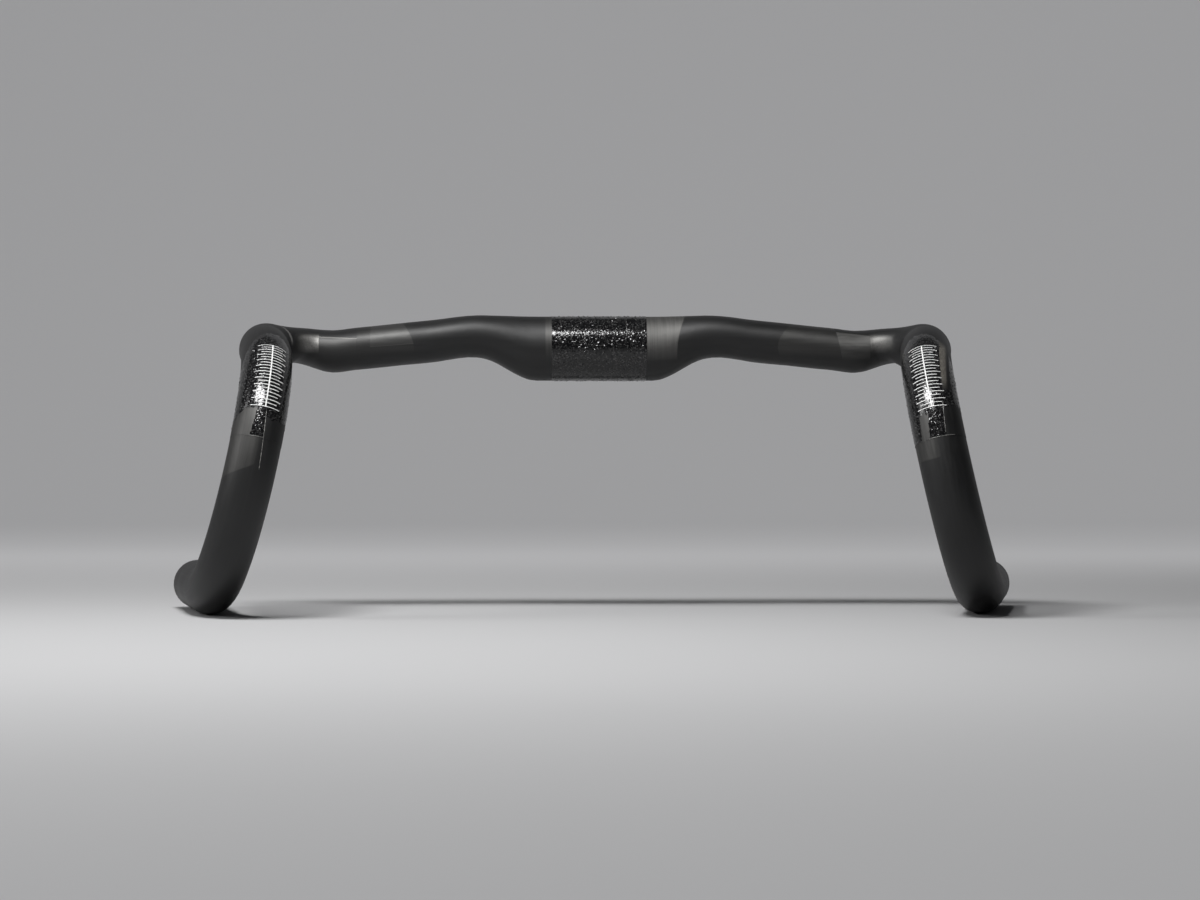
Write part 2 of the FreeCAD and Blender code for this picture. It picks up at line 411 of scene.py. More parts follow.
def build_bar_map():
    """Group that gives each place on the bar its measures in millimetres and degrees."""
    tree = bpy.data.node_groups.new("bar_map", "ShaderNodeTree")
    tree.interface.new_socket("Lay", in_out="OUTPUT", socket_type="NodeSocketVector")
    for name in ("Across", "Fore", "Height", "Hook", "Turn", "Round", "Depth", "Drop"):
        tree.interface.new_socket(name, in_out="OUTPUT", socket_type="NodeSocketFloat")
    wires = {0: object_place(tree), "Scale": 1 / MM}
    place_mm = add_node(tree, "ShaderNodeVectorMath", wires, operation="SCALE").outputs[0]
    axes = add_node(tree, "ShaderNodeSeparateXYZ", {0: place_mm}).outputs
    reach = calc(tree, "ABSOLUTE", axes["X"])
    wires = {"X": reach, "Y": axes["Y"], "Z": axes["Z"]}
    half = add_node(tree, "ShaderNodeCombineXYZ", wires).outputs[0]
    tops_along, tops_across = map_tops(tree, reach, axes["Y"])
    hook_along, side, out, measures = map_hook(tree, half)

    fore = calc(tree, "MULTIPLY", axes["Y"], -1)
    past_corner = calc(tree, "GREATER_THAN", fore, CORNER_END)
    below_tops = calc(tree, "LESS_THAN", axes["Z"], TOPS_FLOOR)
    is_hook = calc(tree, "MAXIMUM", past_corner, below_tops)
    along = mix(tree, is_hook, tops_along, hook_along)
    across = mix(tree, is_hook, tops_across, side)
    rise = mix(tree, is_hook, axes["Z"], out)
    lay = add_node(tree, "ShaderNodeCombineXYZ", {"X": along, "Y": across, "Z": rise}).outputs[0]
    results = {"Lay": lay, "Across": axes["X"], "Fore": fore, "Height": axes["Z"], "Hook": is_hook}
    add_node(tree, "NodeGroupOutput", {**results, **measures})
    return tree


BAR_MAP = build_bar_map()
print("bar map:", len(BAR_MAP.nodes), "nodes")

# %% [markdown]
# The bar's plies are cut pieces of cloth, and the lacquer over them is thin, so the edges of single
# plies show as steps in tone. Each shows on the photograph at a known place along the tops. A painted
# picture could show them, but a mask that is worked out stays sharp at any distance. A ply edge is one
# soft step on a curve: a place across the bar, a lean with height, and a bow.


# %% Ply edges
def ply_edge(tree, spread, height, place, lean=0.0, bow=0.0, middle=0.0, soft=0.5):
    """Mask that is 1 on the far side of a ply's cut edge."""
    up = calc(tree, "SUBTRACT", height, middle)
    curve = calc(tree, "MULTIPLY", calc(tree, "POWER", up, 2), bow)
    line = calc(tree, "ADD", place, calc(tree, "ADD", curve, calc(tree, "MULTIPLY", up, lean)))
    return step(tree, calc(tree, "SUBTRACT", spread, line), -soft, soft)


def sloping_line(tree, value, start, level, rise):
    """Height of a straight line: its level where a value is at the start, and its rise from there."""
    climb = calc(tree, "MULTIPLY", calc(tree, "SUBTRACT", value, start), rise)
    return calc(tree, "ADD", level, climb)


def between(tree, first, second):
    """What lies past the first edge and not past the second."""
    return calc(tree, "MULTIPLY", first, calc(tree, "SUBTRACT", 1.0, second))


def thin_line(tree, value, width):
    """A fine line where a value passes through zero."""
    return step(tree, calc(tree, "ABSOLUTE", value), width, width * 0.3)


def strongest(tree, *masks):
    """The largest of several masks, each given as a mask and its weight."""
    total = None
    for mask, weight in masks:
        part = calc(tree, "MULTIPLY", mask, weight)
        total = part if total is None else calc(tree, "MAXIMUM", total, part)
    return total


print("ply helpers ready")

# %% [markdown]
# The tows of a ply lie side by side like combed hair. Noise that is stretched a hundred times along
# the Lay gives fine and broad tows. Two plies run another way: the one at the clamp is wound round the
# bar, and the one at the right-hand corner lies at a slant, so each has its own stretch of the noise.


# %% Laminate, tows
def tow_noise(tree, lay, scale, detail=3.0, turn=0.0):
    """Streaks of one width along the lay, or turned away from it."""
    wires = {"Vector": lay, "Scale": scale, "Rotation": (0, turn, 0)}
    stretched = add_node(tree, "ShaderNodeMapping", wires).outputs[0]
    return noise_value(tree, stretched, 1.0, detail)


laminate, tree, shader = new_material("satin_carbon_laminate")
lay_map = add_node(tree, "ShaderNodeGroup", node_tree=BAR_MAP).outputs
lay = lay_map["Lay"]
fine_tows = tow_noise(tree, lay, (0.018, 2.4, 2.4))
broad_tows = tow_noise(tree, lay, (0.03, 0.45, 0.45), detail=2.0)
hoop_tows = tow_noise(tree, lay, (3.4, 0.05, 0.05))
slant_tows = tow_noise(tree, lay, (0.12, 0.7, 0.9), turn=radians(24))
grain = tow_noise(tree, lay, (1.3, 1.3, 1.3), detail=2.0)
clouds = noise_value(tree, lay, 0.05, 3.0)
print("tows:", len(tree.nodes), "nodes")

# %% [markdown]
# Now the plies of the tops, one after the other: the wound ply beside the clamp's grit and its narrow
# lap on the other side, two pale plies on the left with a line where the upper one ends, and a dull
# ply on the right. The numbers are millimetres from the middle of the clamp.

# %% Laminate, plies of the tops
spread = lay_map["Across"]
height = lay_map["Height"]
reach = calc(tree, "ABSOLUTE", spread)
on_tops = calc(tree, "SUBTRACT", 1.0, lay_map["Hook"])
is_left = calc(tree, "LESS_THAN", spread, 0)

clamp_ply_start = ply_edge(tree, spread, height, 25.2)
clamp_ply_end = ply_edge(tree, spread, height, 40.1, bow=0.0136, middle=-2.0, soft=0.35)
clamp_ply = between(tree, clamp_ply_start, clamp_ply_end)
clamp_lap_start = ply_edge(tree, spread, height, -24.4)
clamp_lap = between(tree, clamp_lap_start, ply_edge(tree, spread, height, -21.0))
left_start = ply_edge(tree, spread, height, -116.4, soft=0.3)
left_end = ply_edge(tree, spread, height, -88.2, bow=-0.029, middle=-2.0, soft=0.3)
left_ply = between(tree, left_start, left_end)
left_upper = between(tree, ply_edge(tree, spread, height, -109.9, soft=0.3), left_end)
over_upper = calc(tree, "SUBTRACT", height, sloping_line(tree, spread, -109.7, 0.4, 0.077))
upper_line = calc(tree, "MULTIPLY", thin_line(tree, over_upper, 0.3), left_upper)
left_upper = calc(tree, "MULTIPLY", left_upper, step(tree, over_upper, -0.3, 0.3))
right_start = ply_edge(tree, spread, height, 89.3, bow=0.055, middle=0.5)
right_end = ply_edge(tree, spread, height, 118.2, lean=-0.2, middle=8.0, soft=0.3)
right_ply = between(tree, right_start, right_end)
print("plies of the tops ready")

# %% [markdown]
# Towards each corner a ply ends along a sloping line on the front of the bar, with a pale thread at
# the left one. The wrap of the hood starts past it with a straight edge and shines where the corner
# turns forwards. On the left, where the hood's rolled edge catches the light, a pale grey line is a
# painted highlight.

# %% Laminate, corners
WRAP_EDGE = (134.5, 135.0)

left_line = sloping_line(tree, reach, 116.7, 4.4, 0.047)
right_line = sloping_line(tree, reach, 118.2, 8.0, -0.115)
over_line = calc(tree, "SUBTRACT", height, mix(tree, is_left, right_line, left_line))
below_line = step(tree, over_line, 0.2, -0.2)
past_wrap_edge = step(tree, reach, *WRAP_EDGE)
wrap_ends = between(tree, past_wrap_edge, step(tree, reach, 140, 147))
wrap_sides = between(tree, step(tree, height, -4.0, 1.0), step(tree, height, 4.5, 7.5))
wrap = calc(tree, "MULTIPLY", calc(tree, "MULTIPLY", wrap_ends, wrap_sides), on_tops)
wrap = calc(tree, "MULTIPLY", wrap, mix(tree, is_left, 0.7, 1.0))
past_corner = calc(tree, "MULTIPLY", past_wrap_edge, on_tops)
left_corner = between(tree, step(tree, spread, -116.2, -116.6), past_corner)
right_corner = between(tree, right_end, past_corner)
corner_line = calc(tree, "MULTIPLY", thin_line(tree, over_line, 0.35), left_corner)
left_corner = calc(tree, "MULTIPLY", left_corner, below_line)
right_corner = calc(tree, "MULTIPLY", right_corner, below_line)
# The lip is a painted highlight: a pale grey line on the left hood where its rolled edge catches light.
lip_highlight_curve = calc(tree, "MULTIPLY", calc(tree, "POWER", height, 2), -0.035)
lip_highlight_place = calc(tree, "SUBTRACT", lay_map["Fore"], calc(tree, "ADD", 22.0, lip_highlight_curve))
painted_lip_highlight = calc(tree, "MULTIPLY", thin_line(tree, lip_highlight_place, 0.9), step(tree, height, 0.0, 4.0))
painted_lip_highlight = calc(tree, "MULTIPLY", painted_lip_highlight, calc(tree, "MULTIPLY", is_left, step(tree, reach, 144, 146)))
print("corners ready")

# %% [markdown]
# Below the hood's coat the bare laminate shows a short paler ply before the tube goes dark; it is kept
# only on the side that faces the lamp, a painted sheen. On the right hood a strip of beige film is left
# between two bands of grit, and its pale beige is partly a painted highlight. The cut ends and the
# inside of the drop are raw: duller and browner, with the rings of the wound layers.

# %% Laminate, hooks and raw ends
STRIP_START = 27.0
STRIP_RUN = 30.0

turn = lay_map["Turn"]
around = lay_map["Round"]
depth = lay_map["Depth"]
hook_ply_end = mix(tree, is_left, 84.5, 87.5)
tilt = calc(tree, "MULTIPLY", around, mix(tree, is_left, 0.0, 0.10))
past_end = calc(tree, "SUBTRACT", calc(tree, "SUBTRACT", turn, tilt), hook_ply_end)
hook_ply_and_sheen = between(tree, step(tree, turn, 65.0, 66.0), step(tree, past_end, -0.6, 0.6))
# The paler ply is kept only on the side of the tube that faces the lamp: a painted sheen.
right_face = step(tree, around, 4.0, -14.0)
left_face = step(tree, around, -6.0, 10.0)
facing_lamp = mix(tree, is_left, right_face, left_face)
hook_ply_and_sheen = calc(tree, "MULTIPLY", calc(tree, "MULTIPLY", hook_ply_and_sheen, facing_lamp), lay_map["Hook"])

share = calc(tree, "DIVIDE", calc(tree, "SUBTRACT", turn, STRIP_START), STRIP_RUN)
strip_low = calc(tree, "SUBTRACT", around, mix(tree, share, 43.0, 30.0))
strip_high = calc(tree, "SUBTRACT", around, mix(tree, share, 66.0, 45.0))
strip_sides = between(tree, step(tree, strip_low, -3, 2), step(tree, strip_high, -7, 3))
strip_ends = between(tree, step(tree, share, -0.1, 0.15), step(tree, share, 0.75, 1.05))
strip = calc(tree, "MULTIPLY", strip_sides, strip_ends)
strip = calc(tree, "MULTIPLY", between(tree, strip, is_left), lay_map["Hook"])

inside = calc(tree, "MULTIPLY", step(tree, depth, 11.2, 11.0), lay_map["Hook"])
raw = calc(tree, "MAXIMUM", inside, step(tree, lay_map["Drop"], 59.6, 59.9))
ring_wires = {"X": calc(tree, "MULTIPLY", depth, 9.0)}
ring_place = add_node(tree, "ShaderNodeCombineXYZ", ring_wires).outputs[0]
rings = noise_value(tree, ring_place, 1.0, 2.0)
print("hook plies and raw ends ready")

# %% [markdown]
# Under thick lacquer the cloth is black. Where the lacquer is thin the fibres themselves shine, and
# graphite shines like a dark metal: no colour of its own in the shade, but three times the lacquer's
# highlight. So one value, how bare the fibres are, gathers the plies, and sets Metallic and the colour.

# %% Laminate, colour
BLACK_CLOTH = (0.0012, 0.0012, 0.0014, 1), (0.0065, 0.0065, 0.0067, 1)
GRAPHITE = (0.170, 0.168, 0.162, 1), (0.300, 0.294, 0.282, 1)
COVERED_GRAPHITE = (0.040, 0.040, 0.040, 1)
# Beige of the bare film strip: partly its own colour, partly a painted highlight.
BEIGE_FILM_AND_HIGHLIGHT = (0.070, 0.064, 0.055, 1), (0.150, 0.140, 0.124, 1)
# Pale grey of the painted highlight on the left hood's rolled edge.
LIP_HIGHLIGHT_GREY = (0.085, 0.083, 0.080, 1)
RAW_LAYERS = (0.012, 0.0115, 0.011, 1), (0.045, 0.041, 0.037, 1)

bare = strongest(
    tree,
    (clamp_ply, 0.42),
    (clamp_lap, 0.16),
    (left_ply, 0.09),
    (left_upper, 0.13),
    (upper_line, 0.26),
    (right_ply, 0.15),
    (left_corner, 0.10),
    (right_corner, 0.32),
    (corner_line, 0.60),
    (wrap, 0.80),
)
# Painted shade: the plies' shine and colour fade out towards the underside of the tops.
painted_shade_fade = calc(tree, "MULTIPLY", on_tops, step(tree, height, -9.0, 3.0))
bare = strongest(tree, (calc(tree, "MULTIPLY", bare, painted_shade_fade), 1.0), (hook_ply_and_sheen, 0.20))
straight_tows = mix(tree, 0.45, fine_tows, broad_tows)
tows = mix(tree, calc(tree, "MAXIMUM", clamp_ply, clamp_lap), straight_tows, hoop_tows)
tows = mix(tree, right_corner, tows, slant_tows)
tows = mix(tree, wrap, tows, grain)
combed = step(tree, tows, 0.22, 0.78)
graphite = mix_colour(tree, bare, COVERED_GRAPHITE, mix_colour(tree, combed, *GRAPHITE))
fibres = step(tree, bare, 0.02, 0.10)
cloth = mix_colour(tree, fibres, mix_colour(tree, combed, *BLACK_CLOTH), graphite)
# The film strip's pale beige is partly a painted highlight.
film = mix_colour(tree, step(tree, grain, 0.35, 0.65), *BEIGE_FILM_AND_HIGHLIGHT)
cloth = mix_colour(tree, strip, cloth, film)
cloth = mix_colour(tree, painted_lip_highlight, cloth, LIP_HIGHLIGHT_GREY)
raw_colour = mix_colour(tree, rings, *RAW_LAYERS)
tree.links.new(mix_colour(tree, raw, cloth, raw_colour), shader.inputs["Base Color"])

# Painted shade: the matt plies fade out towards the underside as well.
matt_painted_shade_fade = calc(tree, "MULTIPLY", on_tops, step(tree, height, -4.0, 5.0))
matt_plies = strongest(tree, (left_upper, 0.18), (left_corner, 0.08), (right_corner, 0.22))
matt_plies = calc(tree, "MULTIPLY", matt_plies, matt_painted_shade_fade)
painted = strongest(tree, (raw, 1.0), (painted_lip_highlight, 1.0), (strip, 1.0), (matt_plies, 1.0))
tree.links.new(between(tree, fibres, painted), shader.inputs["Metallic"])
print("colours of the laminate ready")

# %% [markdown]
# Roughness follows the tows and a slow mottle of the lacquer. Wound and combed fibres spread a highlight
# wider than lacquer does, and the wrap at the corners is smoother than they are. The bump holds the
# tows, the steps where plies end and the rings of the cut ends.

# %% Laminate, gloss and relief
LACQUER_ROUGHNESS = 0.53
FIBRE_ROUGHNESS = 0.62
WRAP_ROUGHNESS = 0.56
RAW_ROUGHNESS = 0.7
PLY_HEIGHT = 0.05 * MM
TOW_HEIGHT = 0.014 * MM
RING_HEIGHT = 0.08 * MM

sheen_shift = calc(tree, "MULTIPLY", calc(tree, "SUBTRACT", clouds, 0.5), 0.12)
tow_shift = calc(tree, "MULTIPLY", calc(tree, "SUBTRACT", tows, 0.5), 0.16)
satin = mix(tree, step(tree, bare, 0.12, 0.40), LACQUER_ROUGHNESS, FIBRE_ROUGHNESS)
satin = mix(tree, wrap, satin, WRAP_ROUGHNESS)
gloss = calc(tree, "ADD", satin, calc(tree, "ADD", sheen_shift, tow_shift))
tree.links.new(mix(tree, raw, gloss, RAW_ROUGHNESS), shader.inputs["Roughness"])

ply_relief = calc(tree, "MULTIPLY", bare, PLY_HEIGHT)
tow_relief = calc(tree, "MULTIPLY", tows, TOW_HEIGHT)
ring_relief = calc(tree, "MULTIPLY", calc(tree, "MULTIPLY", rings, raw), RING_HEIGHT)
relief = calc(tree, "ADD", calc(tree, "ADD", ply_relief, tow_relief), ring_relief)
give_relief(tree, shader, relief, 0.8, 1.0)
for slot in bar.material_slots:
    slot.material = laminate
print("laminate:", len(tree.nodes), "nodes on", len(bar.material_slots), "slot")

# %% [markdown]
# Grit is hard mineral grains bonded into resin, so that a clamp grips at low torque. The same black,
# glassy resin coats the clamp and both hoods, so its grain is a node group that gives a tone, a gloss
# and a height. Grains over half a millimetre are real geometry, and the group only adds the finer ones.

# %% Grit finish
GRIT_ROUGHNESS = (0.06, 0.18)
GRIT_RELIEF = 0.02 * MM


def build_grit_grain():
    """Group with the fine grain of a gritty resin coat."""
    tree = bpy.data.node_groups.new("grit_grain", "ShaderNodeTree")
    tree.interface.new_socket("Grains per metre", in_out="INPUT", socket_type="NodeSocketFloat")
    for name in ("Tone and glint", "Gloss", "Height"):
        tree.interface.new_socket(name, in_out="OUTPUT", socket_type="NodeSocketFloat")
    grains = add_node(tree, "NodeGroupInput").outputs["Grains per metre"]
    place = object_place(tree)
    crystals = add_node(tree, "ShaderNodeTexVoronoi", {"Vector": place, "Scale": grains})
    crystal_axes = add_node(tree, "ShaderNodeSeparateXYZ", {0: crystals.outputs["Color"]}).outputs
    powder = noise_value(tree, place, calc(tree, "MULTIPLY", grains, 2.5), 2.0)
    hill = calc(tree, "SUBTRACT", 1.0, crystals.outputs["Distance"])
    results = {"Tone and glint": crystal_axes["X"], "Gloss": crystal_axes["Y"]}
    results["Height"] = calc(tree, "ADD", hill, calc(tree, "MULTIPLY", powder, 0.4))
    add_node(tree, "NodeGroupOutput", results)
    return tree


GRIT_GRAIN = build_grit_grain()


def grit_material(name, grains, dark, pale):
    """Black gritty resin with its own grain size and tones."""
    material, tree, shader = new_material(name)
    grain = add_node(tree, "ShaderNodeGroup", node_tree=GRIT_GRAIN)
    grain.inputs[0].default_value = grains
    # A few crystals get the pale colour: partly the grains' own tone, partly painted glints.
    tone = calc(tree, "POWER", grain.outputs["Tone and glint"], 6.0)
    tree.links.new(mix_colour(tree, tone, dark, pale), shader.inputs["Base Color"])
    tree.links.new(mix(tree, grain.outputs["Gloss"], *GRIT_ROUGHNESS), shader.inputs["Roughness"])
    give_relief(tree, shader, grain.outputs["Height"], 0.7, GRIT_RELIEF)
    return material


# The pale tones of both grits are partly painted glints.
clamp_grit_finish = grit_material(
    "clamp_grit", grains=1900.0, dark=(0.003, 0.003, 0.0034, 1), pale=(0.055, 0.0545, 0.054, 1)
)
hood_grit_finish = grit_material(
    "hood_grit", grains=2000.0, dark=(0.004, 0.004, 0.0044, 1), pale=(0.060, 0.0595, 0.059, 1)
)
print("grit grain:", len(GRIT_GRAIN.nodes), "nodes in two finishes")

# %% [markdown]
# A bump could only shade the coarse grains, and they show in the coat's outline. So each coat is a thin
# skin: an open sheet that is given a wall and pushed out by a cell pattern, which leaves a round grain
# in each cell. A noise makes some grains low and others high, as a brush leaves them. Only the outer
# wall moves, so the inner one stays true to the tube.

# %% Helpers for grit skins
SKIN_WALL = 0.14 * MM
SKIN_LIFT = 0.02 * MM
LOWEST_GRAIN = 0.08
UNEVEN_PER_METRE = 800
POWDER_SHARE = 0.10


def grain_texture(name, size):
    """Cell pattern with one grain in each cell of this size."""
    texture = bpy.data.textures.new(name, "VORONOI")
    texture.noise_scale = size
    texture.use_color_ramp = True
    texture.color_ramp.interpolation = "EASE"
    texture.color_ramp.elements[0].position = 0.08
    texture.color_ramp.elements[0].color = (1, 1, 1, 1)
    texture.color_ramp.elements[1].position = 0.38
    texture.color_ramp.elements[1].color = (0, 0, 0, 1)
    return texture


def powder_texture(name, size):
    """Uneven resin between the grains."""
    texture = bpy.data.textures.new(name, "CLOUDS")
    texture.noise_scale = size
    texture.noise_basis = "CELL_NOISE"
    return texture


def unevenness(place):
    """Share of the full height that the grains near a place reach."""
    return min(1.0, max(LOWEST_GRAIN, 0.5 + noise.noise(place * UNEVEN_PER_METRE)))


def raise_grains(piece, strength, size, lift):
    """Give an open skin a wall, then push its outer side out into grains."""
    bpy.ops.object.modifier_add(type="SOLIDIFY")
    wall = piece.modifiers[-1]
    wall.thickness = SKIN_WALL
    wall.offset = -1
    bpy.ops.object.modifier_apply(modifier=wall.name)
    group = piece.vertex_groups.new(name="outer")
    for vertex in piece.data.vertices:
        group.add([vertex.index], strength(vertex.co) * unevenness(vertex.co), "REPLACE")
    grains = grain_texture(piece.name + "_grains", size)
    powder = powder_texture(piece.name + "_powder", size * 0.5)
    for texture, share in ((grains, 1.0), (powder, POWDER_SHARE)):
        bpy.ops.object.modifier_add(type="DISPLACE")
        push = piece.modifiers[-1]
        push.texture = texture
        push.texture_coords = "LOCAL"
        push.direction = "NORMAL"
        push.mid_level = 0.0
        push.strength = lift * share
        push.vertex_group = "outer"
        bpy.ops.object.modifier_apply(modifier=push.name)


def settle(piece, material):
    """Hang a finished piece on the bar."""
    piece.data.materials.clear()
    piece.data.materials.append(material)
    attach(piece, "root")
    print(piece.name, len(piece.data.polygons), "faces")


print("wall of a grit skin:", SKIN_WALL / MM, "mm")

# %% [markdown]
# The grit on the clamp is a band of resin with grains of about a millimetre, a little to one side of
# the middle. It is an open cylinder at the clamp's size. Its long edges are selected by their length
# and cut into many short ones, so that the grains have small, nearly square faces to stand on.

# %% Clamp grit
CLAMP_COAT_RADIUS = 15.9 * MM
CLAMP_COAT_LEFT = -21.2 * MM
CLAMP_COAT_RIGHT = 25.2 * MM

bpy.ops.object.select_all(action="DESELECT")
bpy.ops.mesh.primitive_cylinder_add(
    vertices=300,
    radius=CLAMP_COAT_RADIUS + SKIN_LIFT,
    depth=CLAMP_COAT_RIGHT - CLAMP_COAT_LEFT,
    end_fill_type="NOTHING",
    location=((CLAMP_COAT_LEFT + CLAMP_COAT_RIGHT) / 2, 0, 0),
    rotation=(0, radians(90), 0),
)
clamp_grit = bpy.context.object
clamp_grit.name = "clamp_grit"
bpy.ops.object.transform_apply(location=True, rotation=True, scale=True)
choose(clamp_grit, "EDGE", lambda first, second: abs(first.x - second.x) > 10 * MM)
bpy.ops.mesh.subdivide(number_cuts=139)
bpy.ops.object.mode_set(mode="OBJECT")


def clamp_grain_strength(place):
    """Grains stand on the outer side only."""
    return 1.0 if hypot(place.y, place.z) > CLAMP_COAT_RADIUS else 0.0


raise_grains(clamp_grit, clamp_grain_strength, size=1.1 * MM, lift=0.37 * MM)
settle(clamp_grit, clamp_grit_finish)

# %% [markdown]
# A hood isn't gritty all over. The ball at its top is smooth film, and so are the strips where the ends
# of the gritty film don't meet. A strip runs from one turn of the bend to another, and at both of its
# ends it spans two places round the tube, all in degrees. Noise makes its edges ragged.

# %% Smooth film on the hoods
GRIT_START = 21.0
RAGGED_PER_METRE = 900
SMOOTH_STRIPS = {
    "right": (
        (27.0, 57.0, (43.0, 74.0), (31.0, 54.0)),
        (67.0, 80.0, (-34.0, -11.0), (-42.0, -21.0)),
        (64.0, 80.0, (26.0, 130.0), (18.0, 130.0)),
    ),
    "left": (
        (64.0, 80.0, (15.5, 35.0), (25.5, 150.0)),
        (68.5, 80.0, (-130.0, -4.5), (-130.0, -9.0)),
    ),
}


def past_start(point):
    """How far, in degrees, a point lies below the curved upper edge of the grit."""
    turn, around = hood_angles(point)
    sag = min(20.0, 15.0 * (around / 75) ** 2)
    return turn - GRIT_START - sag


def is_smooth(point, strips):
    """Whether the film is bare at a point, with ragged edges as a brush leaves them."""
    turn, around = hood_angles(point)
    ragged = noise.noise(point * RAGGED_PER_METRE)
    if past_start(point) + 1.5 * ragged < 0:
        return True
    for low, high, start, end in strips:
        share = (turn - low) / (high - low)
        first = start[0] + (end[0] - start[0]) * share
        last = start[1] + (end[1] - start[1]) * share
        in_length = 0 < share + 0.2 * ragged and share < 1
        if in_length and first < around + ragged < last:
            return True
    return False


print("smooth strips:", {side: len(strips) for side, strips in SMOOTH_STRIPS.items()})

# %% [markdown]
# The grit on a hood is a skin round the bend. A circle the size of the coat is spun along the bend, and
# the faces on smooth film are deleted. With no window, spin turns clockwise about its axis, so the
# angle is negative. Deleting leaves crumbs and patches that touch at one point. Those points and crumbs
# go too, because a skin with a wall has to be one closed body.

# %% Skin of a hood
GRIT_END = 76.6
SPIN_MARGIN = 4.0


def facing(direction, upward):
    """Turn that points a flat shape's normal along one direction and its x along another."""
    across = direction.cross(upward)
    return Matrix((upward, across, direction)).transposed().to_euler()


def face_outwards():
    """Select all of a piece in edit mode and turn its faces outwards."""
    bpy.ops.mesh.select_all(action="SELECT")
    bpy.ops.mesh.normals_make_consistent(inside=False)


def drop_loose_grit(skin):
    """Delete the points where two patches only touch, then all but the patch under the scale."""
    bpy.ops.object.mode_set(mode="EDIT")
    bpy.ops.mesh.select_mode(type="VERT")
    for attempt in range(3):
        bpy.ops.mesh.select_all(action="DESELECT")
        bpy.ops.mesh.select_non_manifold(
            extend=False, use_wire=False, use_boundary=False, use_multi_face=False, use_non_contiguous=False
        )
        bpy.ops.mesh.delete(type="VERT")
    bpy.ops.object.mode_set(mode="OBJECT")
    seat = lever + hook_out(radians(hood_angles(lever)[0])) * HOOD_COAT_RADIUS
    nearest = min((vertex.co - seat).length for vertex in skin.data.vertices)
    choose(skin, "VERT", lambda place: (place - seat).length <= nearest)
    bpy.ops.mesh.select_linked()
    bpy.ops.mesh.select_all(action="INVERT")
    bpy.ops.mesh.delete(type="VERT")
    bpy.ops.object.mode_set(mode="OBJECT")


def spin_hood_skin(side):
    """Spin the skin of one hood and clear its smooth film."""
    start = radians(GRIT_START - SPIN_MARGIN)
    bpy.ops.object.select_all(action="DESELECT")
    bpy.ops.mesh.primitive_circle_add(
        vertices=216,
        radius=HOOD_COAT_RADIUS + SKIN_LIFT,
        location=tube_centre(start),
        rotation=facing(hook_heading(start), hook_out(start)),
    )
    skin = bpy.context.object
    skin.name = "hood_grit_" + side
    bpy.ops.object.transform_apply(location=True, rotation=True, scale=True)
    bpy.ops.object.mode_set(mode="EDIT")
    bpy.ops.mesh.select_all(action="SELECT")
    sweep_angle = radians(GRIT_END) - start
    bpy.ops.mesh.spin(steps=200, angle=-sweep_angle, center=HOOK_CENTRE, axis=SIDE)
    face_outwards()
    bpy.ops.object.mode_set(mode="OBJECT")
    choose(skin, "FACE", lambda place: is_smooth(place, SMOOTH_STRIPS[side]))
    bpy.ops.mesh.delete(type="FACE")
    bpy.ops.object.mode_set(mode="OBJECT")
    drop_loose_grit(skin)
    return skin


print("a hood's grit runs from", GRIT_START, "to", GRIT_END, "degrees")

# %% [markdown]
# Both skins are made on the right hood, each with its own smooth strips, and the left one is then
# mirrored with its faces turned back. The grains are a little smaller and lower than the clamp's, and
# they grow from the upper edge down.

# %% Hood grit
EDGE_GRAIN = 0.3
GRAIN_GROWTH = 0.1


def tube_depth(point):
    """Distance from the tube's centre line on the right hood."""
    arm = point - HOOK_CENTRE
    return hypot(hypot(arm.dot(AHEAD), arm.dot(DOWN)) - HOOK_RADIUS, arm.dot(SIDE))


def hood_grain_strength(point):
    """Grains stand on the outer side only, and grow over the first few degrees."""
    if tube_depth(point) < HOOD_COAT_RADIUS:
        return 0.0
    return min(1.0, EDGE_GRAIN + GRAIN_GROWTH * max(0.0, past_start(point)))


def settle_on_side(piece, side, material):
    """Mirror a piece for the left hood, with its faces outwards, then hang it on the bar."""
    if side == "left":
        bpy.ops.object.mode_set(mode="EDIT")
        bpy.ops.mesh.select_all(action="SELECT")
        bpy.ops.transform.resize(value=(-1, 1, 1), center_override=(0, 0, 0))
        bpy.ops.mesh.flip_normals()
        bpy.ops.object.mode_set(mode="OBJECT")
    settle(piece, material)


for side in ("right", "left"):
    skin = spin_hood_skin(side)
    raise_grains(skin, hood_grain_strength, size=1.0 * MM, lift=0.26 * MM)
    settle_on_side(skin, side, hood_grit_finish)

# %% [markdown]
# The scale on each hood is screen-printed in white, to set both levers alike. Ink on grit doesn't cover
# evenly, so fine specks of it are thin and grey, and a little glossier where the resin comes through.

# %% White ink
THIN_INK = (0.42, 0.42, 0.42, 1)
FULL_INK = (0.84, 0.84, 0.83, 1)

ink, tree, shader = new_material("white_scale_ink")
specks = noise_value(tree, object_place(tree), 2600.0, 2.0)
cover = step(tree, specks, 0.36, 0.50)
tree.links.new(mix_colour(tree, cover, THIN_INK, FULL_INK), shader.inputs["Base Color"])
tree.links.new(mix(tree, cover, 0.38, 0.55), shader.inputs["Roughness"])
give_relief(tree, shader, specks, 0.5, 0.12 * MM)
print("scale ink:", len(tree.nodes), "nodes")

# %% [markdown]
# A scale has 21 ticks 2 mm apart, long and short in turn, on one spine. A painted stripe would vanish
# between the grains. The ink lies on the grit, so a tick is a thin raised bar: a small rectangle spun
# round the tube makes one, and spin's copies repeat it down the bend.

# %% Ticks of a scale
TICK_PITCH = 1.61
TICK_WIDTH = 0.33 * MM
INK_DEPTH = 0.26 * MM


def hood_radial(turn, around):
    """Direction straight out of the tube at its two angles."""
    return hook_out(turn) * cos(around) + SIDE * sin(around)


